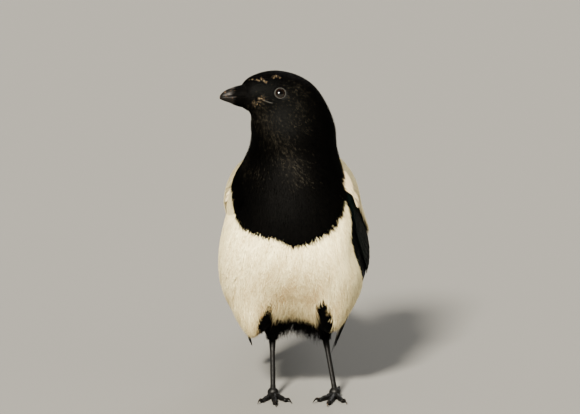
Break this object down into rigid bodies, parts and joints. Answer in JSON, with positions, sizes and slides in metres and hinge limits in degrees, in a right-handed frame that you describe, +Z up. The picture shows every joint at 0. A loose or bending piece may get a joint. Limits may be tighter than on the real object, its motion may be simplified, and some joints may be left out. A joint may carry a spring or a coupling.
{
  "type": "eurasian magpie",
  "caption": "Life-size standing Eurasian magpie with its head turned to its right, wings folded low at its sides and a long graduated tail.",
  "frame": {"origin": "on the floor under the middle of the whole bird's bounding box, at the level of the soles of the feet", "axes": "+Z up, -Y the way the body faces, +Y towards the tip of the tail, +X towards the bird's left"},
  "size_m": [0.1016, 0.3682, 0.2309],
  "materials": {
    "black_plumage": "soft matt black feathers with a slight sheen",
    "white_plumage": "soft matt warm white feathers",
    "wing_gloss": "smooth blue-black feathers with a metallic gloss, white on the shoulder",
    "tail_gloss": "smooth green-black feathers with a metallic gloss",
    "bill_horn": "smooth dark horn with a soft shine",
    "leg_scales": "matt black scaly skin",
    "eye_brown": "very smooth wet dark brown"
  },
  "bodies": {
    "root": {"head": "black_plumage", "neck": "black_plumage", "torso": "white_plumage", "thigh_left": "black_plumage", "thigh_right": "black_plumage", "wing_left": "wing_gloss", "wing_right": "wing_gloss", "tail": "tail_gloss", "bill_upper": "bill_horn", "bill_lower": "bill_horn", "eye_left": "eye_brown", "eye_right": "eye_brown", "tarsus_left": "leg_scales", "tarsus_right": "leg_scales", "foot_left": "leg_scales", "foot_right": "leg_scales", "claw_left_inner": "bill_horn", "claw_left_middle": "bill_horn", "claw_left_outer": "bill_horn", "claw_left_hind": "bill_horn", "claw_right_inner": "bill_horn", "claw_right_middle": "bill_horn", "claw_right_outer": "bill_horn", "claw_right_hind": "bill_horn"}
  },
  "joints": []
}
